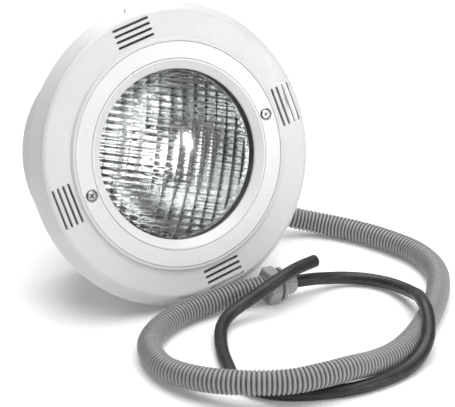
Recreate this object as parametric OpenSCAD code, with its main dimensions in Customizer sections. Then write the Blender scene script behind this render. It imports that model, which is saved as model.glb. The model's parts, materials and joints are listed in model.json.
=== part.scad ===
// Underwater pool light with its wall niche, conduit hose and supply cable.
// The light stands on the floor on the edge of its face rim and the back edge of its niche.
// Millimetres. +Z is up, the face looks towards -Y and upwards.

/* [Face rim] */
// Outside diameter of the face rim
rim_d = 286; // [280:1:290]
// Height of the face above the back edge of the rim
face_z = 18; // [16:0.5:19]
// Wall thickness of the moulded parts
wall = 3; // [2.5:0.1:3.2]
// Height of the centre ring above the face
step_h = 3.2; // [2.5:0.1:4]
// Outside diameter of the clamp ring
clamp_d = 210.2; // [209:0.2:211]
// Diameter of the lens opening
opening_d = 159.6; // [158:0.2:160]

/* [Vent slots] */
// Roll of the slots and screws about the lamp's axis
roll = 13; // [0:1:20]
// Length of one slot
slot_l = 38.5; // [30:0.5:40]
// Width of one slot
slot_w = 2.5; // [2:0.1:3]
// Distance between neighbouring slots
slot_pitch = 5.5; // [5:0.1:6]
// Distance of the innermost slot from the axis
slot_r = 112.6; // [112:0.2:114]

/* [Lamp] */
// Diameter of the sealed-beam lamp
lamp_d = 178; // [176:1:178]
// Height of the lens dome above its edge
dome_h = 15.5; // [10:0.5:17]
// Distance of the face screws from the axis
screw_r = 96.5; // [96:0.1:97]

/* [Niche] */
// Outside diameter of the niche pot
niche_d = 208; // [206:1:210]
// Depth of the niche behind the rim
niche_h = 118; // [116:1:122]
// Outside diameter of the niche mouth
mouth_d = 266; // [262:1:266]
// Depth of the niche mouth behind the rim
mouth_h = 30; // [26:1:30]
// Number of fixing holes in the niche flange, with a rib between each two
flange_holes = 8; // [6:1:8]

/* [Hose and cable] */
// Outside diameter of the conduit hose
hose_d = 22.5; // [22:0.5:23]
// Outside diameter of the rubber cable
cable_d = 12; // [11:0.5:12]
// Size of the hexagon on the end gland, across its flats
hex_af = 32; // [30:1:34]

/* [Hidden] */
$fn = 96;

rim_r = rim_d / 2;
niche_r = niche_d / 2;
lamp_r = lamp_d / 2;
opening_r = opening_d / 2;
clamp_r = clamp_d / 2;
cable_r = cable_d / 2;
hose_r = hose_d / 2;
top_z = face_z + step_h;

// The light leans back until the rim and the niche's back edge both touch the floor.
lean = atan((rim_r - niche_r) / niche_h);
flat_r = rim_r - 11.4;
lean_y = (flat_r * sin(lean) + face_z * cos(lean) - niche_r * sin(lean) - niche_h * cos(lean)) / 2;

// Heights along the lamp's axis, from the back edge of the rim.
shelf_z = face_z - 0.8;
bezel_z = shelf_z - wall + 0.2;
lens_z = 4;
hub_r = lamp_r + 2.5;
skirt_z = -4;
ears_z = -10;
neck_r = 44;
shell_back = niche_h - 14;

outlet_a = roll - 45;
outlet_z = -88;
gland_a = 118;
gland_z = -66;
lead_r = 80;
lead_neck = neck_r + 14.5;
lead_bend = 48;

first_hole = 22.5;

end_x = 59.5;
end_y = -118.7;
end_a = -6;

// Centres along the hose: out of the niche, down to the floor, round and back to the gland.
HOSE = [
    [94, 22, 52.4], [116.9, 17.5, 38.8], [132, 14.5, 30.5], [147, 10, 23.5], [162, 3, 18],
    [177, -6, 14.5], [191, -19, 12.2], [204, -36, 11.4], [216, -58, 11.4], [226, -83, 11.4],
    [233, -110, 11.4], [232, -138, 11.4], [224, -164, 11.4], [210, -187, 11.4],
    [193, -209, 11.4], [172, -231, 11.4], [149, -252, 11.4], [125, -270, 11.5],
    [99, -285, 12.5], [71, -296, 16], [42, -304, 21.5], [12, -307, 23.6],
    [-17, -304, 23.6], [-45, -292, 23.6], [-68, -272, 21], [-84, -246, 17], [-93, -217, 13.5],
    [-92, -187, 12], [-83, -163, 11.5], [-67, -145, 11.4], [-47, -131.5, 11.4],
    [-24, -122, 11.6], [2, -117.5, 12.4], [31, -116.8, 14.6], [60, -118.8, 16], [66.4, -119.4, 16]
];

// Centres along the cable: out of the gland, over the hose, under it and up to the cut end.
CABLE = [
    [84.4, -121.3, 16], [104, -122.5, 15], [117, -121.5, 12.8], [130, -121, 10.2],
    [142.5, -122.5, 8.4], [154, -127.5, 7.4], [164, -135, 7.1], [171.5, -145, 7.4],
    [176.5, -157, 8.6], [178, -170, 10.6], [177.5, -184, 13.4], [175, -198, 17],
    [170.5, -212, 21.8], [164, -226, 26.4], [157.5, -241, 29.2], [151, -257, 29],
    [143.5, -271.5, 24.4], [134, -284, 17], [119, -295.5, 10], [97, -306, 6.5],
    [70, -312, 6.1], [42, -313, 6.1], [16, -308, 6.1], [-8, -299, 6.1], [-27, -286, 6.1],
    [-39, -268, 6.1], [-42, -247, 6.1], [-36, -223, 6.1], [-29, -201, 6.2], [-19, -178, 7],
    [-7, -159, 9.5], [8, -148, 13.5], [26, -144.5, 19.5], [46, -143.5, 27.5], [66, -140, 33.5],
    [87, -133, 35.5], [109, -127, 35.6]
];

// ---- places ----

// The lamp's own frame: its axis is Z, and the back edge of the rim is at Z = 0.
module in_lamp() {
    translate([0, lean_y, rim_r * cos(lean)]) rotate([90 - lean, 0, 0]) children();
}

module in_roll() {
    in_lamp() rotate(roll) children();
}

// Out of the side of the niche: +Z points away from the pot. The second outlet is a quarter turn on.
module at_outlet(turn = 0) {
    in_lamp() translate([0, 0, outlet_z]) rotate([0, 0, outlet_a + turn]) rotate([0, 90, 0]) children();
}

// The housing's gland: +Z follows the lead out of it, along the niche wall.
module at_shell_gland() {
    in_lamp() rotate(gland_a) translate([lead_r, 0, gland_z]) rotate([90, 0, 0]) children();
}

// The gland on the end of the hose: +Z points to the cable.
module at_end_gland() {
    translate([end_x, end_y, hex_af / 2]) rotate([0, 0, end_a]) rotate([0, 90, 0]) children();
}

// ---- shared shapes ----

module ring(r_out, r_in, z_low, z_high) {
    translate([0, 0, z_low]) difference() {
        cylinder(r = r_out, h = z_high - z_low);
        translate([0, 0, -1]) cylinder(r = r_in, h = z_high - z_low + 2);
    }
}

module rod(r, z_low, z_high) {
    translate([0, 0, z_low]) cylinder(r = r, h = z_high - z_low);
}

module hex_nut(af, z_low, z_high) {
    translate([0, 0, z_low]) rotate(30) cylinder(d = af / cos(30), h = z_high - z_low, $fn = 6);
}

module around(n, r, first = 0) {
    for (i = [0:n - 1]) rotate(first + i * 360 / n) translate([r, 0, 0]) children();
}

function arc(cx, cy, r, from, to, n = 6) =
    [for (i = [0:n]) [cx + r * cos(from + (to - from) * i / n), cy + r * sin(from + (to - from) * i / n)]];

function unit(v) = v / norm(v);

function polar(r, a) = [r * cos(a), r * sin(a)];

// A round tube through the points of a route.
module swept_tube(route, r, sides = 10) {
    last = len(route) - 1;
    along = [for (i = [0:last]) unit(route[min(i + 1, last)] - route[max(i - 1, 0)])];
    side = [for (t = along) unit(cross(t, abs(t[2]) > 0.9 ? [1, 0, 0] : [0, 0, 1]))];
    points = [for (i = [0:last]) for (k = [0:sides - 1])
        let (a = 360 * k / sides, up = cross(side[i], along[i]))
        route[i] + r * (cos(a) * side[i] + sin(a) * up)];
    walls = [for (i = [0:last - 1]) for (k = [0:sides - 1])
        let (n = (k + 1) % sides)
        [i * sides + k, (i + 1) * sides + k, (i + 1) * sides + n, i * sides + n]];
    ends = [
        [for (k = [0:sides - 1]) k],
        [for (k = [sides - 1:-1:0]) last * sides + k]
    ];
    polyhedron(points = points, faces = concat(walls, ends), convexity = 10);
}

// ---- light unit ----

module vent_slots() {
    for (a = [0:90:270]) rotate(a) for (i = [0:3]) translate([slot_r + i * slot_pitch, 0, face_z - 8])
        linear_extrude(12) {
            square([slot_w, slot_l - slot_w], center = true);
            for (s = [-1, 1]) translate([0, s * (slot_l - slot_w) / 2]) circle(d = slot_w, $fn = 24);
        }
}

module face_rim() {
    outside = concat(
        [[rim_r, 0], [rim_r, 2], [rim_r - 7.4, face_z - 4]],
        arc(flat_r, face_z - 5.4, 5.4, 38, 90)
    );
    step = concat(
        arc(clamp_r + 4.9, face_z + 1.6, 1.6, 270, 225, 3),
        arc(clamp_r + 1.6, top_z - 1.8, 1.8, 45, 90, 3),
        [[clamp_r + 0.3, top_z]]
    );
    inside = [
        [clamp_r + 0.3, shelf_z], [hub_r, shelf_z], [hub_r, skirt_z], [hub_r + 2.5, skirt_z],
        [hub_r + 2.5, shelf_z - wall], [flat_r - 1, face_z - wall], [rim_r - 9.4, face_z - 5.6],
        [rim_r - wall, 2], [rim_r - wall, 0]
    ];
    color("whitesmoke") in_roll() difference() {
        union() {
            rotate_extrude() polygon(concat(outside, step, inside));
            around(6, 99.6, 30) rod(4.4, ears_z + 4, shelf_z - 1);
        }
        vent_slots();
        around(2, screw_r) rod(2.4, 5, top_z);
        around(6, 99.6, 30) rod(1.5, ears_z, 5);
        // Finger notch for lifting the rim
        rotate(90) translate([rim_r + 3, 0, -1]) cylinder(d = 16, h = 9);
    }
}

module clamp_ring() {
    r_in = lamp_r + 0.3;
    section = concat(
        [[r_in, shelf_z], [clamp_r, shelf_z]],
        arc(clamp_r - 0.8, top_z - 0.8, 0.8, 0, 90, 3),
        arc(r_in + 0.6, top_z - 0.6, 0.6, 90, 180, 3)
    );
    color("white") in_roll() difference() {
        rotate_extrude() polygon(section);
        around(2, screw_r) {
            rod(2.4, shelf_z - 1, top_z + 1);
            rod(6.1, top_z - 2.4, top_z + 1);
        }
    }
}

module lens_bezel() {
    color("white") in_lamp() rotate_extrude() polygon(concat(
        [[hub_r - 0.2, bezel_z], [hub_r - 0.2, shelf_z], [lamp_r - 0.1, shelf_z], [lamp_r - 0.1, top_z - 0.1]],
        arc(lamp_r - 1.2, top_z - 1.1, 1, 90, 115, 3),
        arc(opening_r + 1, bezel_z + 1.6, 1, 115, 180, 3),
        [[opening_r, bezel_z]]
    ));
}

module face_screw(side) {
    color("silver") in_roll() rotate(side) translate([screw_r, 0, 0]) difference() {
        union() {
            rod(2, -32, top_z - 2.2);
            rod(4.8, top_z - 2.4, top_z - 1);
            translate([0, 0, top_z - 1]) cylinder(r1 = 4.8, r2 = 3.4, h = 1);
        }
        for (a = [20, 110]) rotate(a) translate([-2.5, -0.6, top_z - 1.8]) cube([5, 1.2, 3]);
    }
}

module lens_gasket() {
    color("#2b2b2b") in_lamp() rotate_extrude() polygon([
        [opening_r + 0.2, lens_z], [hub_r - 0.3, lens_z], [hub_r - 0.3, bezel_z],
        [opening_r + 0.2, bezel_z]
    ]);
}

module lamp_lens() {
    edge_r = opening_r + 0.2;
    ball = (edge_r * edge_r + dome_h * dome_h) / (2 * dome_h);
    color("lightgrey") in_lamp() {
        ring(lamp_r, edge_r - 4, -1, lens_z);
        translate([0, 0, lens_z]) intersection() {
            rod(edge_r - 2, -5, dome_h + 1);
            translate([0, 0, dome_h - ball]) difference() {
                sphere(r = ball);
                sphere(r = ball - 4);
            }
        }
    }
}

// The mirror follows a parabola from the neck to the lens.
module lamp_reflector() {
    neck = 22;
    rim = lamp_r - 1.5;
    deep = 76;
    curve = [for (i = [0:12]) let (r = neck + (rim - neck) * i / 12)
        [r, -1 - deep * (1 - (r * r - neck * neck) / (rim * rim - neck * neck))]];
    inner = [for (i = [12:-1:0]) [curve[i][0] - 2.4, min(curve[i][1] + 1.2, -1)]];
    color("silver") in_lamp() rotate_extrude() polygon(concat(curve, inner));
}

// A sealed quartz capsule with a solid foot
module lamp_burner() {
    color("ghostwhite") in_lamp() difference() {
        union() {
            rod(7, -76.8, -46);
            translate([0, 0, -46]) sphere(r = 7);
        }
        union() {
            rod(5.8, -68, -46);
            translate([0, 0, -46]) sphere(r = 5.8);
        }
    }
}

module lamp_filament() {
    color("orange") in_lamp() {
        for (s = [-1, 1]) translate([3 * s, 0, 0]) rod(0.5, -67.8, -54);
        translate([-4, 0, -54]) rotate([0, 90, 0]) cylinder(r = 1.1, h = 8);
    }
}

module lamp_base() {
    color("linen") in_lamp() difference() {
        union() {
            rod(23.5, -86, -78);
            rod(19.2, -79, -75);
        }
        rod(12, -77, -74);
    }
}

module lamp_terminals() {
    color("goldenrod") in_lamp() for (s = [-1, 1]) translate([11 * s, 0, 0]) {
        rod(4, -89, -86);
        rod(2, -95, -89);
        rod(3.4, -92.4, -90.6);
    }
}

module lamp_leads() {
    way_out = [cos(gland_a), sin(gland_a), 0];
    aside = [sin(gland_a), -cos(gland_a), 0];
    color("dimgray") in_lamp() for (s = [-1, 1]) {
        foot = [11 * s, 0, -91.5];
        swept_tube([
            foot + [0, 3.8, 0], foot + [0, 10, 0.6], [5 * s - 6, 24, -90], [3 * s - 16, 34, -80],
            49 * way_out + 2.6 * s * aside + [0, 0, gland_z - 1],
            62 * way_out + 2.6 * s * aside + [0, 0, gland_z],
            76 * way_out + 2.6 * s * aside + [0, 0, gland_z]
        ], 1.6, 8);
    }
}

// The block that carries the gland. It ends inside the wall of the shell.
module gland_block() {
    difference() {
        at_shell_gland() {
            rod(11, -9, 9);
            translate([-31, -11, -9]) cube([31, 22, 18]);
        }
        in_lamp() rotate_extrude() polygon([
            [0, -96], [neck_r - 1.2, -96], [neck_r - 1.2, outlet_z + 0.5], [lamp_r + 1.2, -31.5], [0, -31.5]
        ]);
    }
}

module rear_shell() {
    section = [
        [hub_r - 0.3, lens_z], [hub_r - 0.3, -6.2], [hub_r + 4.4, -6.2], [hub_r + 4.4, ears_z],
        [hub_r - 0.3, ears_z], [hub_r - 0.3, -32], [neck_r, outlet_z], [neck_r, -shell_back],
        [0, -shell_back], [0, -shell_back + 2.4], [neck_r - 2.4, -shell_back + 2.4],
        [neck_r - 2.4, outlet_z + 1], [lamp_r + 0.4, -31], [lamp_r + 0.4, lens_z]
    ];
    color("gainsboro") difference() {
        union() {
            in_roll() {
                rotate_extrude() polygon(section);
                around(6, 99.6, 30) rod(5.4, ears_z, -6.2);
            }
            gland_block();
        }
        at_shell_gland() {
            rod(7, -5, 10);
            rotate([0, -90, 0]) cylinder(r = 5, h = 33);
        }
        in_roll() around(6, 99.6, 30) rod(1.5, ears_z - 1, 0);
        in_roll() around(2, screw_r) rod(2.6, ears_z - 1, 0);
    }
}

module shell_seal() {
    color("#2b2b2b") in_lamp() ring(hub_r + 2.4, hub_r, -6.2, skirt_z);
}

module shell_screws() {
    color("silver") in_roll() around(6, 99.6, 30) {
        rod(1.5, ears_z, 3);
        difference() {
            rod(2.9, ears_z - 2.2, ears_z);
            rotate(30) rod(1.2, ears_z - 3, ears_z - 1);
        }
    }
}

module shell_gland_body() {
    color("dimgray") at_shell_gland() difference() {
        union() {
            rod(7, 4.6, 11);
            hex_nut(19, 9, 13);
            rod(8.5, 11, 22);
        }
        rod(cable_r + 0.2, 4, 23);
    }
}

module shell_gland_seal() {
    color("#2b2b2b") at_shell_gland() ring(8.4, cable_r, 22, 26);
}

module shell_gland_nut() {
    color("dimgray") at_shell_gland() difference() {
        hex_nut(20.4, 14, 29);
        rod(8.55, 13, 26.4);
        rod(cable_r + 0.4, 13, 30);
    }
}

// A turn of slack round the housing, so that the light reaches the deck, and then out of the pot.
module inner_lead() {
    start = [for (s = [6, 18, 30.5]) [
        lead_r * cos(gland_a) + s * sin(gland_a), lead_r * sin(gland_a) - s * cos(gland_a), gland_z]];
    swing = asin(lead_bend / (lead_neck + lead_bend));
    from = gland_a - 36;
    first_r = lead_r + 8.5;
    to = outlet_a + swing - 360;
    coil = [for (i = [0:30]) let (t = i / 30, a = from + (to - from) * t)
        concat(polar(first_r + (lead_neck - first_r) * t, a), gland_z + (outlet_z - gland_z) * min(1, 1.15 * t))];
    middle = (lead_neck + lead_bend) * cos(swing);
    bend = [for (i = [1:5]) let (a = 180 + swing + (90 - swing) * i / 5)
        [middle + lead_bend * cos(a), lead_bend + lead_bend * sin(a)]];
    out = [for (p = concat(bend, [[niche_r + 6, 0]])) concat(polar(norm(p), outlet_a + atan2(p[1], p[0])), outlet_z)];
    color("#222222") in_lamp() swept_tube(concat(start, coil, out), cable_r, 8);
}

// ---- niche ----

module niche_pot() {
    section = [
        [0, -niche_h], [34, -niche_h], [34, -niche_h + 1], [40, -niche_h + 1], [40, -niche_h],
        [84, -niche_h], [84, -niche_h + 1], [92, -niche_h + 1], [92, -niche_h],
        [niche_r, -niche_h], [niche_r, -mouth_h], [niche_r - wall, -mouth_h],
        [niche_r - wall, -niche_h + wall], [0, -niche_h + wall]
    ];
    color("white") difference() {
        union() {
            in_roll() {
                rotate_extrude() polygon(section);
                around(2, 98.4) rod(5, -48, -mouth_h);
            }
            for (a = [0, 90]) at_outlet(a) rod(18, niche_r - 2.3, niche_r + 4);
        }
        in_roll() around(2, screw_r) rod(3.4, -40, -20);
        for (a = [0, 90]) at_outlet(a) rod(12.2, niche_r - 12, niche_r + 5);
    }
}

// The mouth and its flange, welded onto the pot's front edge
module niche_flange() {
    mouth_r = mouth_d / 2;
    section = [
        [niche_r + 0.3, -mouth_h - 8], [niche_r + 0.3, -mouth_h], [niche_r - wall - 4, -mouth_h],
        [niche_r - wall - 4, -mouth_h + wall], [mouth_r - wall, -mouth_h + wall], [mouth_r - wall, -2],
        [mouth_r, -2], [mouth_r, -mouth_h], [niche_r + 3, -mouth_h], [niche_r + 3, -mouth_h - 8]
    ];
    color("white") in_roll() difference() {
        union() {
            rotate_extrude() polygon(section);
            for (i = [0:flange_holes - 1]) rotate((i + 0.5) * 360 / flange_holes - first_hole)
                rotate([90, 0, 0]) linear_extrude(2.4, center = true) polygon([
                    [niche_r + 2, -mouth_h + 1], [mouth_r - 4, -mouth_h + 1], [mouth_r - 4, -mouth_h - 3],
                    [niche_r + 4.5, -mouth_h - 22], [niche_r + 0.4, -mouth_h - 22], [niche_r + 0.4, -mouth_h - 7],
                    [niche_r + 2, -mouth_h - 7]
                ]);
        }
        around(2, screw_r) rod(3.4, -40, -20);
        around(flange_holes, 118.5, first_hole) rod(2.6, -mouth_h - 1, -mouth_h + wall + 1);
    }
}

// Threaded bushes for the face screws
module niche_inserts() {
    color("goldenrod") in_roll() around(2, screw_r) ring(3.38, 2.05, -36, -mouth_h + wall);
}

// Closes the second outlet
module outlet_plug() {
    color("gray") at_outlet(90) difference() {
        union() {
            rod(12.15, niche_r - 5, niche_r + 6);
            rod(16, niche_r + 4, niche_r + 7);
            hex_nut(22, niche_r + 6, niche_r + 13);
        }
        rod(8, niche_r + 9, niche_r + 14);
    }
}

module outlet_socket() {
    color("gray") at_outlet() difference() {
        union() {
            rod(12.2, niche_r - 5, niche_r + 6);
            hex_nut(33, niche_r + 4, niche_r + 8);
            rod(15, niche_r + 6, niche_r + 19);
        }
        rod(cable_r + 1, niche_r - 6, niche_r + 8);
        rod(hose_r + 0.35, niche_r + 6, niche_r + 20);
    }
}

module outlet_seal() {
    color("#2b2b2b") at_outlet() ring(14.6, hose_r + 0.3, niche_r + 19, niche_r + 23);
}

module outlet_nut() {
    color("gray") at_outlet() difference() {
        hex_nut(36, niche_r + 9.5, niche_r + 28);
        rod(15.05, niche_r + 9, niche_r + 23.4);
        rod(hose_r + 0.6, niche_r + 9, niche_r + 29);
    }
}

module conduit_hose() {
    color("gray") swept_tube(HOSE, hose_r, 12);
}

// ---- gland on the hose end ----

module end_gland_body() {
    color("gray") at_end_gland() difference() {
        union() {
            hex_nut(hex_af, 0, 12);
            rod(13, 8, 14.5);
            rod(8, 10, 25);
        }
        rod(hose_r + 0.35, -1, 7);
        rod(cable_r + 0.2, -1, 26);
    }
}

module end_gland_ring() {
    color("darkgray") at_end_gland() ring(16, 8.02, 14.5, 18);
}

module end_gland_cap() {
    color("gray") at_end_gland() difference() {
        union() {
            rod(10.8, 18.3, 28);
            translate([0, 0, 28]) cylinder(r1 = 10.8, r2 = 9.4, h = 2.4);
        }
        rod(8.05, 18, 27.4);
        rod(cable_r + 0.5, 18, 31);
    }
}

module end_gland_grommet() {
    color("#2b2b2b") at_end_gland() ring(7.6, cable_r + 0.15, 25, 27);
}

module supply_cable() {
    color("#222222") swept_tube(CABLE, cable_r, 10);
}

// Three insulated cores that just show at the cut end.
module cable_cores() {
    last = len(CABLE) - 1;
    run = CABLE[last] - CABLE[last - 1];
    color("sienna") translate(CABLE[last]) rotate([0, 90 - atan2(run[2], norm([run[0], run[1]])), atan2(run[1], run[0])])
        around(3, 2.6) cylinder(r = 2, h = 0.8);
}

face_rim();
clamp_ring();
lens_bezel();
face_screw(0);  // face_screw_right
face_screw(180);  // face_screw_left
lens_gasket();
lamp_lens();
lamp_reflector();
lamp_burner();
lamp_filament();
lamp_base();
lamp_terminals();
lamp_leads();
rear_shell();
shell_seal();
shell_screws();
shell_gland_body();
shell_gland_seal();
shell_gland_nut();
inner_lead();
niche_pot();
niche_flange();
niche_inserts();
outlet_plug();
outlet_socket();
outlet_seal();
outlet_nut();
conduit_hose();
end_gland_body();
end_gland_ring();
end_gland_cap();
end_gland_grommet();
supply_cable();
cable_cores();
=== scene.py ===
"""Underwater pool light with its niche, conduit hose and supply cable, dressed for rendering."""

import json
import math

import bpy
import numpy as np
from mathutils import Matrix, Vector


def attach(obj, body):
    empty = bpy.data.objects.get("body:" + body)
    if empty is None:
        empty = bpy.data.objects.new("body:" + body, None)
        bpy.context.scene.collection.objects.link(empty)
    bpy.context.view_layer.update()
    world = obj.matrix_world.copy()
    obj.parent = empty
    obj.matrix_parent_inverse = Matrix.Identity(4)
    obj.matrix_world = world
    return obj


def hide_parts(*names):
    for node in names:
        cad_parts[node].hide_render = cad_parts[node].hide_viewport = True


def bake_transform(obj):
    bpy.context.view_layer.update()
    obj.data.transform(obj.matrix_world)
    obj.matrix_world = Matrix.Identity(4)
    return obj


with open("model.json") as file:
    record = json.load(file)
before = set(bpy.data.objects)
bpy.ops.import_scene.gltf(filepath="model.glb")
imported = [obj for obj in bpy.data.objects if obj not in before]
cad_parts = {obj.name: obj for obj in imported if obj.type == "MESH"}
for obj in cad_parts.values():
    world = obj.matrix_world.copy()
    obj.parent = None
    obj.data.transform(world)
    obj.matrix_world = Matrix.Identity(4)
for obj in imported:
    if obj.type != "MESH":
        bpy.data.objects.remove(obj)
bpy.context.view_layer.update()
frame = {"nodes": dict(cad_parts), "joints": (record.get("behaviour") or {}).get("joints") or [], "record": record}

MM = 0.001
MM_IN_METRE = 1000
joints = {joint["name"]: joint for joint in frame["joints"]}
nodes = frame["nodes"]

# ---- places, worked out from the frame ----

# Heights of the joints along the lamp's axis or their own gland's, in millimetres
SCREW_Z = 10
OUTLET_NUT_Z = 122
CAP_Z = 24
SHELL_NUT_Z = 20

right_screw = Vector(joints["right_screw_turn"]["pos_m"])
left_screw = Vector(joints["left_screw_turn"]["pos_m"])
lamp_axis = Vector(joints["light_pull"]["axis"]).normalized()
lamp_origin = (right_screw + left_screw) / 2 - lamp_axis * SCREW_Z * MM


def frame_at(origin, z_axis, x_hint):
    """The matrix of a local frame in millimetres."""
    z = Vector(z_axis).normalized()
    y = z.cross(Vector(x_hint)).normalized()
    x = y.cross(z)
    turn = Matrix((x, y, z)).transposed().to_4x4()
    return Matrix.Translation(Vector(origin)) @ turn @ Matrix.Scale(MM, 4)


def gland_frame(joint, height, x_hint):
    """The frame of the gland whose nut or cap turns about this joint, given at this height."""
    axis = Vector(joints[joint]["axis"]).normalized()
    return frame_at(Vector(joints[joint]["pos_m"]) - axis * height * MM, axis, x_hint)


LAMP = frame_at(lamp_origin, lamp_axis, (1, 0, 0))
OUTLET = gland_frame("outlet_nut_turn", OUTLET_NUT_Z, lamp_axis)
END_GLAND = gland_frame("end_cap_turn", CAP_Z, (0, 0, 1))
SHELL_GLAND = gland_frame("shell_nut_turn", SHELL_NUT_Z, lamp_axis)

# ---- camera ----

CAMERA_AZIMUTH = math.radians(-28.065)
CAMERA_ELEVATION = math.radians(23.546)
CAMERA_DISTANCE = 2.0
CAMERA_LENS_MM = 158.48
CAMERA_SENSOR_MM = 36
CAMERA_TARGET = Vector((0.09038, 0.01406, 0.04431))


def make_camera():
    """The photo's camera, worked out from the light's outline."""
    data = bpy.data.cameras.new("camera")
    data.lens = CAMERA_LENS_MM
    data.sensor_width = CAMERA_SENSOR_MM
    camera = bpy.data.objects.new("camera", data)
    bpy.context.scene.collection.objects.link(camera)
    back = Vector((
        math.sin(CAMERA_AZIMUTH) * math.cos(CAMERA_ELEVATION),
        -math.cos(CAMERA_AZIMUTH) * math.cos(CAMERA_ELEVATION),
        math.sin(CAMERA_ELEVATION),
    ))
    camera.location = CAMERA_TARGET + back * CAMERA_DISTANCE
    camera.rotation_mode = "QUATERNION"
    camera.rotation_quaternion = (-back).to_track_quat("-Z", "Y")
    bpy.context.scene.camera = camera


make_camera()

# ---- materials ----

# Mesh attributes that the materials read
RIB_ATTRIBUTE = "rib_height"
PRESSED_SIDE = "pressed_side"

PLASTIC_IOR = 1.49
PVC_IOR = 1.52
RUBBER_IOR = 1.5
GLASS_IOR = 1.47
WHITE = (1, 1, 1, 1)
# How far the screws' painted recess shade looks for nearby surfaces
RECESS_REACH = 3 * MM


class Nodes:
    """A material's node tree, with short ways to add and join nodes."""

    def __init__(self, name):
        self.material = bpy.data.materials.new(name)
        self.material.use_nodes = True
        self.tree = self.material.node_tree
        self.shader = self.tree.nodes["Principled BSDF"]
        self.coordinates = self.tree.nodes.new("ShaderNodeTexCoord")

    def add(self, kind, **settings):
        node = self.tree.nodes.new("ShaderNode" + kind)
        for key, value in settings.items():
            setattr(node, key, value)
        return node

    def join(self, source, target):
        self.tree.links.new(source, target)

    def noise(self, size_mm, detail):
        """Noise whose blobs are about size_mm across; returns its grey value."""
        noise = self.add("TexNoise")
        noise.inputs["Scale"].default_value = MM_IN_METRE / size_mm
        noise.inputs["Detail"].default_value = detail
        self.join(self.coordinates.outputs["Object"], noise.inputs["Vector"])
        return noise.outputs["Fac"]

    def ramp(self, value, low, high, start=0.3, stop=0.7):
        """Maps a grey value onto two colours or two greys."""
        ramp = self.add("ValToRGB")
        first, last = ramp.color_ramp.elements
        first.position, last.position = start, stop
        first.color = low if isinstance(low, tuple) else (low, low, low, 1)
        last.color = high if isinstance(high, tuple) else (high, high, high, 1)
        self.join(value, ramp.inputs["Fac"])
        return ramp.outputs["Color"]

    def uneven(self, value, roughness, low, high):
        """A roughness that varies with a grey value, between these shares of its usual one."""
        return self.ramp(value, roughness * low, min(1, roughness * high))

    def bump(self, height, strength, depth_mm):
        """A normal bumped by a grey value."""
        bump = self.add("Bump")
        bump.inputs["Strength"].default_value = strength
        bump.inputs["Distance"].default_value = depth_mm * MM
        self.join(height, bump.inputs["Height"])
        return bump.outputs["Normal"]

    def put(self, **sockets):
        """Sets the shader's own sockets, or joins a node's output to them."""
        for name, value in sockets.items():
            socket = self.shader.inputs[name.replace("_", " ")]
            if isinstance(value, bpy.types.NodeSocket):
                self.join(value, socket)
            else:
                socket.default_value = value
        return self.material


def shade(colour, factor):
    """A lighter or darker colour, with its alpha."""
    return tuple(min(1, c * factor) for c in colour) + (1,)


def plastic(name, colour, roughness, grain_mm=0.5, grain_depth=0.02, mottle=0.03, coat=0.0):
    """Moulded plastic: fine grain, a faint flow mottle and uneven gloss."""
    n = Nodes(name)
    flow = n.noise(38, 3)
    grain = n.noise(grain_mm, 2)
    scuff = n.noise(6, 5)
    base = n.ramp(flow, shade(colour, 1 - mottle), shade(colour, 1 + mottle * 0.5))
    return n.put(
        Base_Color=base,
        Roughness=n.uneven(scuff, roughness, 0.85, 1.2),
        IOR=PLASTIC_IOR,
        Coat_Weight=coat,
        Coat_Roughness=0.12,
        Normal=n.bump(grain, 0.5, grain_depth),
    )


def hose_plastic(name, crest, groove):
    """Corrugated hose: its own grey on the crests, with painted shade darkening the grooves."""
    n = Nodes(name)
    depth = n.add("Attribute", attribute_name=RIB_ATTRIBUTE).outputs["Fac"]
    # painted shade: the colour darkens from the crests down into the grooves
    base = n.ramp(depth, shade(groove, 1), shade(crest, 1), 0.0, 0.95)
    return n.put(
        Base_Color=base,
        Roughness=n.ramp(n.noise(5, 4), 0.28, 0.42),
        IOR=PVC_IOR,
        Normal=n.bump(n.noise(0.9, 2), 0.4, 0.03),
    )


def rubber(name, colour, roughness=0.42, dust=0.35):
    """Extruded or moulded rubber with a thin grey bloom."""
    n = Nodes(name)
    bloom = n.ramp(n.noise(9, 6), shade(colour, 1), shade(colour, 1 + dust * 3), 0.45, 0.8)
    return n.put(
        Base_Color=bloom,
        Roughness=n.uneven(n.noise(3, 4), roughness, 0.8, 1.35),
        IOR=RUBBER_IOR,
        Normal=n.bump(n.noise(0.8, 3), 0.5, 0.04),
    )


def metal(name, colour, roughness):
    """Machined or drawn metal with a fine grain and a faint tarnish."""
    n = Nodes(name)
    grain = n.noise(0.7, 3)
    return n.put(
        Base_Color=n.ramp(n.noise(4, 4), shade(colour, 0.88), shade(colour, 1.036)),
        Metallic=1.0,
        Roughness=n.uneven(grain, roughness, 0.7, 1.4),
        Normal=n.bump(grain, 0.3, 0.01),
    )


def screw_steel(name, colour, roughness):
    """Polished steel with painted shade darkening its driving recess."""
    n = Nodes(name)
    # painted shade: the colour darkens where ambient occlusion finds the recess
    openness = n.add("AmbientOcclusion", samples=8)
    openness.inputs["Distance"].default_value = RECESS_REACH
    recess_shade, bare_steel = shade(colour, 0.05), shade(colour, 1)
    return n.put(
        Base_Color=n.ramp(openness.outputs["AO"], recess_shade, bare_steel, 0.6, 0.93),
        Metallic=1.0,
        Roughness=n.uneven(n.noise(1.2, 3), roughness, 0.7, 1.3),
        Normal=n.bump(n.noise(0.7, 2), 0.3, 0.01),
    )


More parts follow.
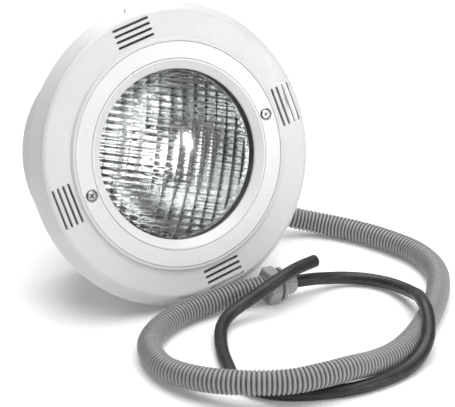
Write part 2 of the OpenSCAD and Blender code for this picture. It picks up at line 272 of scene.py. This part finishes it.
def clear_glass(name, tint, roughness, painted_glow=0.0, pebbled=None):
    """Clear glass, pebbled all over or as much as the mesh attribute of that name says."""
    n = Nodes(name)
    pebbles = n.noise(2.2, 3)
    if pebbled is not None:
        share = n.add("Math", operation="MULTIPLY")
        n.join(pebbles, share.inputs[0])
        n.join(n.add("Attribute", attribute_name=pebbled).outputs["Fac"], share.inputs[1])
        pebbles = share.outputs[0]
    base = n.ramp(n.noise(30, 2), shade(tint, 0.98), shade(tint, 1))
    return n.put(
        Base_Color=base,
        Roughness=roughness,
        IOR=GLASS_IOR,
        Transmission_Weight=1.0,
        # painted light, where a glow is given
        Emission_Color=WHITE,
        Emission_Strength=painted_glow,
        Normal=n.bump(pebbles, 0.6, 0.09),
    )


def mirror(name, colour):
    """Aluminised glass with a faint orange peel."""
    n = Nodes(name)
    base = n.ramp(n.noise(14, 4), shade(colour, 0.93), shade(colour, 1))
    return n.put(
        Base_Color=base,
        Metallic=1.0,
        Roughness=n.ramp(n.noise(8, 3), 0.09, 0.14),
        Normal=n.bump(n.noise(5, 2), 0.25, 0.08),
    )


MATERIALS = {
    "white_face": plastic("face_abs", (0.635, 0.635, 0.63), 0.36, 0.6, 0.015),
    "white_ring": plastic("ring_abs", (0.71, 0.71, 0.705), 0.3, 0.8, 0.006, coat=0.05),
    "niche_white": plastic("niche_abs", (0.6, 0.6, 0.595), 0.5, 0.9, 0.03),
    "shell_grey": plastic("shell_plastic", (0.34, 0.345, 0.35), 0.5, 0.8, 0.04, 0.08),
    "gland_grey": plastic("gland_polyamide", (0.33, 0.33, 0.335), 0.42, 0.7, 0.03, 0.08),
    # The hose's second colour is painted shade for the bottoms of its grooves.
    "hose_grey": hose_plastic("hose_pvc", (0.3, 0.3, 0.302), (0.06, 0.06, 0.061)),
    "cable_black": rubber("cable_rubber", (0.013, 0.013, 0.014)),
    "black_seal": rubber("seal_rubber", (0.05, 0.05, 0.052), 0.6),
    "wire": rubber("sleeve_glassfibre", (0.3, 0.28, 0.24), 0.7, 0.1),
    "steel_screw": screw_steel("stainless_steel", (0.5, 0.5, 0.495), 0.34),
    "brass": metal("brass", (0.72, 0.52, 0.22), 0.3),
    "filament": metal("tungsten", (0.55, 0.53, 0.5), 0.4),
    "lens_glass": clear_glass("lens_glass", (0.97, 0.985, 0.98), 0.035, pebbled=PRESSED_SIDE),
    # The capsule's glow is painted light: it lights the inside of the unlit lamp.
    "bulb_glass": clear_glass("quartz", (0.99, 0.99, 0.985), 0.12, 0.6),
    "mirror": mirror("aluminised", (0.74, 0.745, 0.75)),
    "ceramic": plastic("ceramic", (0.86, 0.86, 0.85), 0.75, 0.5, 0.05, 0.06),
    "core_insulation": plastic("core_pvc", (0.22, 0.1, 0.05), 0.35),
}

for part in frame["record"]["subparts"]:
    node = nodes[part["node"]]
    for place in node.material_slots:
        place.material = MATERIALS[part["material_slot"]]

# ---- a small round on moulded and turned edges ----

ROUND_WIDTH = 0.35 * MM
ROUND_SEGMENTS = 2
ROUND_ANGLE = math.radians(40)
ROUNDED_NODES = (
    "face_rim", "clamp_ring", "lens_bezel", "rear_shell", "niche_pot", "niche_flange",
    "outlet_plug", "outlet_socket", "shell_gland_body", "lamp_base",
)

for name in ROUNDED_NODES:
    bevel = nodes[name].modifiers.new("edge_round", "BEVEL")
    bevel.width = ROUND_WIDTH
    bevel.segments = ROUND_SEGMENTS
    bevel.limit_method = "ANGLE"
    bevel.angle_limit = ROUND_ANGLE
    bevel.harden_normals = True

# ---- building tools ----

SHARP_ANGLE = math.radians(32)
WASHER_SHARE = 0.97  # the round on a nut's face, as a share of its width across flats
CHAMFER_SLOPE = 0.6
CURVE_CUTS = 24  # cuts between two points of a route before it is spaced evenly


def make_mesh(name, points, faces, slot, place=None):
    """A smooth mesh object; its points are in place's frame, or in metres in the shared frame."""
    mesh = bpy.data.meshes.new(name)
    mesh.from_pydata([tuple(p) for p in points], [], [tuple(f) for f in faces])
    if place is not None:
        mesh.transform(place)
    mesh.update()
    mesh.polygons.foreach_set("use_smooth", [True] * len(mesh.polygons))
    mesh.materials.append(MATERIALS[slot])
    piece = bpy.data.objects.new(name, mesh)
    bpy.context.scene.collection.objects.link(piece)
    return piece


def rings_to_faces(count, sides, closed=False):
    """Quads between count rings of points, each with sides points."""
    faces = []
    for i in range(count if closed else count - 1):
        after = (i + 1) % count
        for k in range(sides):
            turn = (k + 1) % sides
            faces.append((i * sides + k, i * sides + turn, after * sides + turn, after * sides + k))
    return faces


def spun(name, outline, slot, place, sides=96):
    """A closed piece spun about place's Z. Each ring of its outline is (radius, height) in
    millimetres, or a function from the angle to such a pair."""
    points = []
    for ring in outline:
        for k in range(sides):
            angle = 2 * math.pi * k / sides
            r, z = ring(angle) if callable(ring) else ring
            points.append((r * math.cos(angle), r * math.sin(angle), z))
    piece = make_mesh(name, points, rings_to_faces(len(outline), sides, True), slot, place)
    piece.data.set_sharp_from_angle(angle=SHARP_ANGLE)
    return piece


def hexagon(across_flats, low, high, bore):
    """The rings of a nut with chamfered corners: outside from low to high, then its bore."""
    washer_r = WASHER_SHARE * across_flats / 2

    def ring(height, inward, trimmed):
        def place_on(angle):
            off_flat = (angle + math.pi / 6) % (math.pi / 3) - math.pi / 6
            r = across_flats / 2 / math.cos(off_flat)
            if trimmed:
                return washer_r, height
            return r, height + inward * (r - washer_r) * CHAMFER_SLOPE
        return place_on

    return [
        ring(low, 0, True), ring(low, 1, False), ring(high, -1, False), ring(high, 0, True),
        (bore, high), (bore, low),
    ]


def smooth_route(route, step):
    """Evenly spaced points in metres on a smooth curve through a route in millimetres, and the
    curve's length."""
    knots = np.array(route, float) * MM
    ends = np.vstack([2 * knots[0] - knots[1], knots, 2 * knots[-1] - knots[-2]])
    dense = []
    for i in range(1, len(ends) - 2):
        p0, p1, p2, p3 = ends[i - 1:i + 3]
        for t in np.linspace(0, 1, CURVE_CUTS, endpoint=False):
            dense.append(0.5 * (
                2 * p1 + (p2 - p0) * t + (2 * p0 - 5 * p1 + 4 * p2 - p3) * t * t
                + (3 * p1 - p0 - 3 * p2 + p3) * t ** 3
            ))
    dense.append(knots[-1])
    dense = np.array(dense)
    along = np.concatenate([[0], np.cumsum(np.linalg.norm(np.diff(dense, axis=0), axis=1))])
    count = max(2, round(along[-1] / step))
    stations = np.linspace(0, along[-1], count + 1)
    return np.stack([np.interp(stations, along, dense[:, i]) for i in range(3)], axis=1), along[-1]


def carried_frames(path):
    """Two directions across the path at each point, carried along without twist."""
    tangents = np.gradient(path, axis=0)
    tangents /= np.linalg.norm(tangents, axis=1)[:, None]
    first = np.cross(tangents[0], (0, 0, 1))
    sides = [first / np.linalg.norm(first)]
    for tangent in tangents[1:]:
        side = sides[-1] - tangent * np.dot(sides[-1], tangent)
        sides.append(side / np.linalg.norm(side))
    sides = np.array(sides)
    return tangents, sides, np.cross(tangents, sides)


def tube(name, path, radii, slot, sides):
    """A closed tube along the path; radii gives the radius in metres at each point."""
    _, side, up = carried_frames(path)
    points = []
    for centre, a, b, radius in zip(path, side, up, radii):
        for k in range(sides):
            angle = 2 * math.pi * k / sides
            points.append(centre + radius * (math.cos(angle) * a + math.sin(angle) * b))
    faces = rings_to_faces(len(path), sides)
    last = (len(path) - 1) * sides
    faces.append(tuple(range(sides))[::-1])
    faces.append(tuple(range(last, last + sides)))
    return make_mesh(name, points, faces, slot)


# ---- glands ----

FLUTES = 18
FLUTE_DEPTH = 0.55
FLUTED_R = 10.75


def fluted(height):
    """A ring of the cap's fluted wall, at this height."""
    return lambda a: (FLUTED_R - FLUTE_DEPTH * max(0.0, math.cos(FLUTES * a)) ** 2, height)


def make_end_gland():
    """The gland on the hose: a chamfered hexagon, its neck, and a fluted cap."""
    hexagonal = hexagon(across_flats=32, low=0, high=12, bore=11.6)
    body = spun("gland_hexagon", hexagonal, "gland_grey", END_GLAND)
    neck = [
        (11.7, 0.4), (11.7, 7), (6.3, 7), (6.3, 24.8), (8, 24.8), (8, 14.4), (12.4, 14.4),
        (13, 13.8), (13, 12.1), (13, 0.4),
    ]
    collar = spun("gland_neck", neck, "gland_grey", END_GLAND)
    ring = [(8.03, 14.6), (15.2, 14.6), (16, 15.2), (16, 17.3), (15.2, 18), (8.03, 18)]
    flange = spun("gland_flange", ring, "gland_grey", END_GLAND)
    cap = [
        (8.1, 18.4), (9.9, 18.4), (10.3, 18.8), (10.3, 19.6), fluted(20.2), fluted(26.8),
        (10.2, 27.8), (9.5, 29.6), (8.6, 30.3), (6.6, 30.3), (6.5, 27.4), (8.1, 27.3),
    ]
    nut = spun("gland_cap", cap, "gland_grey", END_GLAND, sides=192)
    for piece in (body, collar, flange):
        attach(piece, "hose_run")
    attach(nut, "end_gland_cap")
    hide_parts("end_gland_body")
    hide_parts("end_gland_ring")
    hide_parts("end_gland_cap")
    return [body, collar, flange, nut]


def make_nuts():
    """The nuts of the outlet and of the housing's gland."""
    outlet = hexagon(across_flats=36, low=113.5, high=132, bore=11.9)
    nut = spun("outlet_hexagon", outlet, "gland_grey", OUTLET)
    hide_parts("outlet_nut")
    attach(nut, "outlet_nut")
    shell = hexagon(across_flats=20.4, low=14, high=29, bore=6.5)
    nut = spun("shell_hexagon", shell, "gland_grey", SHELL_GLAND, sides=72)
    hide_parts("shell_gland_nut")
    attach(nut, "shell_gland_nut")


# ---- hose and cable ----

# Their middle lines, chosen along the photo's routes, in millimetres
HOSE = [
    (94, 22, 52.4), (116.9, 17.5, 38.8), (132, 14.5, 30.5), (147, 10, 23.5), (162, 3, 18),
    (177, -6, 14.5), (191, -19, 12.2), (204, -36, 11.4), (216, -58, 11.4), (226, -83, 11.4),
    (233, -110, 11.4), (232, -138, 11.4), (224, -164, 11.4), (210, -187, 11.4),
    (193, -209, 11.4), (172, -231, 11.4), (149, -252, 11.4), (125, -270, 11.5),
    (99, -285, 12.5), (71, -296, 16), (42, -304, 21.5), (12, -307, 23.6),
    (-17, -304, 23.6), (-45, -292, 23.6), (-68, -272, 21), (-84, -246, 17), (-93, -217, 13.5),
    (-92, -187, 12), (-83, -163, 11.5), (-67, -145, 11.4), (-47, -131.5, 11.4),
    (-24, -122, 11.6), (2, -117.5, 12.4), (31, -116.8, 14.6), (60, -118.8, 16), (66.4, -119.4, 16),
]
CABLE = [
    (84.4, -121.3, 16), (104, -122.5, 15), (117, -121.5, 12.8), (130, -121, 10.2),
    (142.5, -122.5, 8.4), (154, -127.5, 7.4), (164, -135, 7.1), (171.5, -145, 7.4),
    (176.5, -157, 8.6), (178, -170, 10.6), (177.5, -184, 13.4), (175, -198, 17),
    (170.5, -212, 21.8), (164, -226, 26.4), (157.5, -241, 29.2), (151, -257, 29),
    (143.5, -271.5, 24.4), (134, -284, 17), (119, -295.5, 10), (97, -306, 6.5),
    (70, -312, 6.1), (42, -313, 6.1), (16, -308, 6.1), (-8, -299, 6.1), (-27, -286, 6.1),
    (-39, -268, 6.1), (-42, -247, 6.1), (-36, -223, 6.1), (-29, -201, 6.2), (-19, -178, 7),
    (-7, -159, 9.5), (8, -148, 13.5), (26, -144.5, 19.5), (46, -143.5, 27.5), (66, -140, 33.5),
    (87, -133, 35.5), (109, -127, 35.6),
]
HOSE_R = 11.25 * MM
CABLE_R = 6 * MM
RIB_PITCH = 4.0 * MM
RIB_DEPTH = 1.6 * MM
RIB_STEPS = 10
RIB_HALF = 0.37  # half of a crest's width, as a share of the pitch
HOSE_SIDES = 28
BEND_RIBS = 36  # ribs on the first piece of hose, from the outlet
CABLE_SIDES = 32
CABLE_STEP = 2.5 * MM


def rib_height(phase):
    """Height of one rib, from 0 to 1, across its pitch: a round crest between narrow grooves."""
    off = abs(phase - 0.5) / RIB_HALF
    return math.sqrt(1 - off * off) if off < 1 else 0.0


def ribbed_hose(name, path):
    """A stretch of hose whose first ring is in a groove."""
    ribs = [rib_height((i % RIB_STEPS) / RIB_STEPS) for i in range(len(path))]
    radii = [HOSE_R - RIB_DEPTH * (1 - rib) for rib in ribs]
    hose = tube(name, path, radii, "hose_grey", HOSE_SIDES)
    # The rib heights also set the hose's painted groove shade.
    heights = hose.data.attributes.new(RIB_ATTRIBUTE, "FLOAT", "POINT")
    heights.data.foreach_set("value", np.repeat(ribs, HOSE_SIDES))
    return hose


def make_hose():
    """The hose, in two pieces: one between the outlet and the floor, and the rest, which swings with the hose's
    run.
    """
    path = smooth_route(HOSE, RIB_PITCH / RIB_STEPS)[0]
    cut = BEND_RIBS * RIB_STEPS
    bend = ribbed_hose("hose_bend", path[:cut + 1])
    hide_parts("conduit_hose")
    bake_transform(bend)
    run = ribbed_hose("hose_corrugated", path[cut:])
    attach(run, "hose_run")
    make_end_gland()


CORES = 3
CORE_OUT = 2.6  # from the cable's middle line to a core's, in millimetres
STRANDS_ROUND = 6  # strands about the middle one of a core
STRAND_OUT = 0.82
CORE_OUTLINE = [(1.95, -0.6), (1.95, 0.5), (1.8, 0.65), (1.3, 0.65), (1.25, 0.5), (1.25, -0.6)]
STRAND_OUTLINE = [(0.01, -0.5), (0.39, -0.5), (0.39, 0.7), (0.3, 0.8), (0.01, 0.8)]


def set_out(place, r, k, count):
    """The frame of the k-th of count things at this radius about place's Z."""
    angle = 2 * math.pi * k / count
    return place @ Matrix.Translation((r * math.cos(angle), r * math.sin(angle), 0))


def make_cores(place):
    """Three insulated cores that just show at the cut end, each with its strands."""
    pieces = []
    for k in range(CORES):
        middle = set_out(place, CORE_OUT, k, CORES)
        pieces.append(spun(f"core_{k}", CORE_OUTLINE, "core_insulation", middle, sides=24))
        for n in range(STRANDS_ROUND + 1):
            strand = set_out(middle, STRAND_OUT if n else 0.0, n, STRANDS_ROUND)
            pieces.append(spun(f"strand_{k}_{n}", STRAND_OUTLINE, "brass", strand, sides=10))
    for piece in pieces:
        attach(piece, "hose_run")
    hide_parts("cable_cores")
    return pieces


def make_cable():
    """The supply cable from the hose's gland to its bare cut end."""
    path, length = smooth_route(CABLE, CABLE_STEP)
    cable = tube("cable_sheath", path, [CABLE_R] * len(path), "cable_black", CABLE_SIDES)
    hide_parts("supply_cable")
    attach(cable, "hose_run")
    cores = make_cores(frame_at(path[-1], path[-1] - path[-2], (0, 0, -1)))


# The inner lead's route, in millimetres and degrees about the lamp's axis
LEAD_ANGLE = 118
LEAD_Z = -66
LEAD_R = 80
LEAD_STRAIGHT = (6, 18, 30.5)  # how far its first points are out from the housing's gland
COIL_AFTER = 36  # from the gland to where the coil starts
COIL_R = LEAD_R + 8.5
COIL_POINTS = 30
COIL_FALL = 1.15  # the coil is down at the outlet's height before its end
LEAD_NECK_R = 58.5
LEAD_BEND_R = 48
BEND_POINTS = 5
OUTLET_ANGLE = -32
OUTLET_Z = -88
LEAD_OUT_R = 110
LEAD_STEP = 3 * MM
LEAD_PIECES = 6


def polar(r, degrees, z):
    """A point in the lamp's frame."""
    return Vector((r * math.cos(math.radians(degrees)), r * math.sin(math.radians(degrees)), z))


def inner_lead_route():
    """From the housing's gland, one turn round its neck, and out of the side of the niche."""
    route = [
        polar(math.hypot(LEAD_R, s), LEAD_ANGLE - math.degrees(math.atan2(s, LEAD_R)), LEAD_Z)
        for s in LEAD_STRAIGHT
    ]
    swing = math.degrees(math.asin(LEAD_BEND_R / (LEAD_NECK_R + LEAD_BEND_R)))
    first, last = LEAD_ANGLE - COIL_AFTER, OUTLET_ANGLE + swing - 360
    for i in range(COIL_POINTS + 1):
        t = i / COIL_POINTS
        z = LEAD_Z + (OUTLET_Z - LEAD_Z) * min(1, COIL_FALL * t)
        route.append(polar(COIL_R + (LEAD_NECK_R - COIL_R) * t, first + (last - first) * t, z))
    middle = (LEAD_NECK_R + LEAD_BEND_R) * math.cos(math.radians(swing))
    for i in range(1, BEND_POINTS + 1):
        turn = math.radians(180 + swing + (90 - swing) * i / BEND_POINTS)
        x, y = middle + LEAD_BEND_R * math.cos(turn), LEAD_BEND_R * (1 + math.sin(turn))
        degrees = OUTLET_ANGLE + math.degrees(math.atan2(y, x))
        route.append(polar(math.hypot(x, y), degrees, OUTLET_Z))
    route.append(polar(LEAD_OUT_R, OUTLET_ANGLE, OUTLET_Z))
    return [tuple(LAMP @ p / MM) for p in route]


def make_inner_lead():
    """The lead, cut into pieces along its length."""
    path = smooth_route(inner_lead_route(), LEAD_STEP)[0]
    cuts = [round((len(path) - 1) * k / LEAD_PIECES) for k in range(LEAD_PIECES + 1)]
    for k in range(LEAD_PIECES):
        piece = path[cuts[k]:cuts[k + 1] + 1]
        lead = tube(f"inner_lead_{k}", piece, [CABLE_R] * len(piece), "cable_black", CABLE_SIDES)
        if k == 0:
            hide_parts("inner_lead")
        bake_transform(lead)


make_hose()
make_cable()
make_inner_lead()
make_nuts()

# ---- lamp ----

LENS_R = 80
LENS_EDGE_Z = 4
DOME_H = 15.5
DOME_BALL = (LENS_R ** 2 + DOME_H ** 2) / (2 * DOME_H)
LENS_WALL = 3.0
LENS_FLANGE = [
    (80.4, 4), (88.6, 4), (89, 3.6), (89, -0.6), (88.6, -1), (76.4, -1), (76.4, -0.6), (80.4, -0.2),
]
# The pressed prisms: width and height of one, their rise, the mesh's cuts across each
COLUMN = 11.8
ROW = 6.5
COLUMN_RISE = 1.4
ROW_RISE = 1.5
COLUMN_CUTS = 8
ROW_CUTS = 6
PATTERN_TURN = math.radians(-17)
PATTERN_EDGE = 1  # plain width left at the lens's edge
PATTERN_FADE = 3
SLIVER = 0.2  # squares that reach less than this inside the edge are left out

REFLECTOR_DEPTH = 75
REFLECTOR_NECK_R = 22
REFLECTOR_RIM_R = 87.5
REFLECTOR_TOP = -1.2
REFLECTOR_WALL = 1.8  # how far its back lies outside its front, and below it
REFLECTOR_DROP = 0.6
REFLECTOR_STEPS = 40

BURNER_TIP_Z = -46
BURNER_R = 7
BURNER_BORE_R = 5.9

FILAMENT_Z = -54
FILAMENT_TURNS = 13
TURN_STEPS = 14
COIL_WIRE_R = 0.22 * MM
LEAD_WIRE_R = 0.45 * MM


def dome_height(r):
    """Height of the lens's outer face at this radius."""
    return LENS_EDGE_Z + math.sqrt(DOME_BALL ** 2 - r * r) - (DOME_BALL - DOME_H)


def prism_relief(u, v, r):
    """Depth of the pressed prisms on the lens's inner face."""
    across = 1 - (2 * ((u / COLUMN) % 1 - 0.5)) ** 2
    down = 1 - (2 * ((v / ROW) % 1 - 0.5)) ** 2
    fade = min(1, max(0, (LENS_R - PATTERN_EDGE - r) / PATTERN_FADE))
    return fade * (COLUMN_RISE * across + ROW_RISE * down)


def make_lens():
    """A glass disc: a smooth dome outside and a grid of pressed prisms inside."""
    columns = math.ceil(LENS_R / COLUMN) * COLUMN_CUTS
    rows = math.ceil(LENS_R / ROW) * ROW_CUTS
    wide, high = COLUMN / COLUMN_CUTS, ROW / ROW_CUTS
    turn, lean = math.cos(PATTERN_TURN), math.sin(PATTERN_TURN)
    top, bottom, index = [], [], {}

    def corner(i, j):
        if (i, j) not in index:
            u, v = i * wide, j * high
            r = math.hypot(u, v)
            pull = min(1, LENS_R / r) if r else 1
            x, y = (u * turn - v * lean) * pull, (u * lean + v * turn) * pull
            r = min(r, LENS_R)
            z = dome_height(r)
            index[i, j] = len(top)
            top.append((x, y, z))
            bottom.append((x, y, z - LENS_WALL - prism_relief(u, v, r)))
        return index[i, j]

    quads = []
    for i in range(-columns, columns):
        for j in range(-rows, rows):
            square = [(i, j), (i + 1, j), (i + 1, j + 1), (i, j + 1)]
            if min(math.hypot(a * wide, b * high) for a, b in square) < LENS_R - SLIVER:
                quads.append([corner(a, b) for a, b in square])
    count = len(top)
    edges = {(q[k], q[(k + 1) % 4]) for q in quads for k in range(4)}
    rim = [(a, b) for a, b in edges if (b, a) not in edges]
    faces = [tuple(q) for q in quads]
    faces += [tuple(count + k for k in reversed(q)) for q in quads]
    faces += [(b, a, count + a, count + b) for a, b in rim]
    lens = make_mesh("lens_prisms", top + bottom, faces, "lens_glass", LAMP)
    pressed = lens.data.attributes.new(PRESSED_SIDE, "FLOAT", "POINT")
    pressed.data.foreach_set("value", [0.0] * count + [1.0] * count)
    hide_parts("lamp_lens")
    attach(lens, "light_unit")
    flange = spun("lens_flange", LENS_FLANGE, "lens_glass", LAMP)
    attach(flange, "light_unit")


def make_reflector():
    """A parabolic bowl, closed over its rim and round its neck."""
    neck, rim = REFLECTOR_NECK_R, REFLECTOR_RIM_R
    front = []
    for i in range(REFLECTOR_STEPS + 1):
        r = neck + (rim - neck) * i / REFLECTOR_STEPS
        share = (r * r - neck * neck) / (rim * rim - neck * neck)
        front.append((r - REFLECTOR_WALL, REFLECTOR_TOP - REFLECTOR_DEPTH * (1 - share)))
    back = [
        (r + REFLECTOR_WALL, min(z - REFLECTOR_DROP, REFLECTOR_TOP)) for r, z in reversed(front)
    ]
    bowl = spun("reflector_bowl", front + back, "mirror", LAMP, sides=128)
    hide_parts("lamp_reflector")
    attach(bowl, "light_unit")


def tip_arc(r, start, stop):
    """Rings of the capsule's round tip, between two angles in degrees."""
    angles = np.linspace(math.radians(start), math.radians(stop), 10)
    return [(r * math.cos(a), BURNER_TIP_Z + r * math.sin(a)) for a in angles]


def make_burner():
    """A hollow quartz capsule with a rounded tip, a pip on it and a solid, narrower foot."""
    foot = [(0.01, -76.6), (6.2, -76.6), (6.6, -76.2), (6.6, -70), (7, -68)]
    pip = [(1.0, -38.7), (0.7, -37.8), (0.3, -37.2), (0.01, -37.1), (0.01, -40.2)]
    bore_end = [(5.9, -66), (4.6, -67.6), (0.01, -68)]
    outline = foot + tip_arc(BURNER_R, 0, 80) + pip + tip_arc(BURNER_BORE_R, 88, 0) + bore_end
    burner = spun("burner_capsule", outline, "bulb_glass", LAMP, sides=48)
    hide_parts("lamp_burner")
    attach(burner, "light_unit")


def make_filament():
    """A coil of fine wire between two stiffer lead wires."""
    coil_r, half, count = 1.1, 3.6, FILAMENT_TURNS * TURN_STEPS
    wound = []
    for i in range(count + 1):
        angle = 2 * math.pi * i / TURN_STEPS
        x = -half + 2 * half * i / count
        wound.append(Vector((x, coil_r * math.cos(angle), FILAMENT_Z + coil_r * math.sin(angle))))
    heights = (-67.8, -64, -60, -57)
    left = [Vector((-3, 0, z)) for z in heights]
    right = [Vector((3, 0, z)) for z in reversed(heights)]
    bends = [Vector((x, 0.6, -54.6)) for x in (-3.5, 3.5)]
    route = left + bends[:1] + wound + bends[1:] + right
    world = np.array([LAMP @ p for p in route])
    wire = [LEAD_WIRE_R] * len(heights)
    radii = wire + [COIL_WIRE_R] * (len(world) - 2 * len(wire)) + wire
    coil = tube("filament_coil", world, radii, "filament", 8)
    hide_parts("lamp_filament")
    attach(coil, "light_unit")


make_lens()
make_reflector()
make_burner()
make_filament()

# ---- floor and light ----

FLOOR_HALF = 6.0
FLOOR_GLOW = 0.12
WORLD_STRENGTH = 0.2
LENS_MIDDLE = (0, 0, 0.13)
KEY = (1.05, -1.75, 0.70)

# name, place, what it points at, width, height, watts, the rays that don't see it
LIGHTS = (
    ("overhead", (0.2, -0.3, 2.2), (0, -0.1, 0), 2.4, 2.4, 52, ()),
    ("back_fill", (0.6, 2.2, 2.4), (0.3, 1.4, 0), 2.4, 2.4, 55, ()),
    ("key_box", KEY, LENS_MIDDLE, 0.2, 0.34, 7, ("transmission",)),
    ("key_box", KEY, LENS_MIDDLE, 0.28, 0.44, 1.6, ("transmission",)),
    ("key_box", KEY, LENS_MIDDLE, 0.38, 0.56, 1.2, ("transmission",)),
    ("front_box", (-0.5, -2.1, 0.45), LENS_MIDDLE, 0.5, 0.5, 6, ("glossy",)),
    ("lens_box", (0.55, -1.05, 0.12), LENS_MIDDLE, 0.8, 0.2, 1.8, ("glossy", "diffuse")),
)


def area_light(name, place, aim, width, height, power, hidden_from):
    """An elliptical soft box."""
    data = bpy.data.lights.new(name, "AREA")
    data.energy = power
    data.shape = "ELLIPSE"
    data.size = width
    data.size_y = height
    light = bpy.data.objects.new(name, data)
    bpy.context.scene.collection.objects.link(light)
    light.location = place
    direction = Vector(aim) - Vector(place)
    light.rotation_mode = "QUATERNION"
    light.rotation_quaternion = direction.to_track_quat("-Z", "Y")
    for ray in hidden_from:
        setattr(light, "visible_" + ray, False)


def make_floor():
    """A white sheet that glows a little, so that it stays as white as the photo's ground."""
    corners = [(x * FLOOR_HALF, y * FLOOR_HALF, 0) for x, y in ((-1, -1), (1, -1), (1, 1), (-1, 1))]
    mesh = bpy.data.meshes.new("floor")
    mesh.from_pydata(corners, [], [(0, 1, 2, 3)])
    n = Nodes("floor_paper")
    mesh.materials.append(n.put(
        Base_Color=n.ramp(n.noise(120, 2), 0.9, 0.92),
        Roughness=0.9,
        Emission_Color=WHITE,
        Emission_Strength=FLOOR_GLOW,
    ))
    floor = bpy.data.objects.new("floor", mesh)
    bpy.context.scene.collection.objects.link(floor)


def make_world():
    """An even white surround."""
    world = bpy.data.worlds.new("studio")
    world.use_nodes = True
    background = world.node_tree.nodes["Background"]
    background.inputs["Color"].default_value = WHITE
    background.inputs["Strength"].default_value = WORLD_STRENGTH
    bpy.context.scene.world = world
    bpy.context.scene.view_settings.view_transform = "Standard"


make_floor()
make_world()
for settings in LIGHTS:
    area_light(*settings)
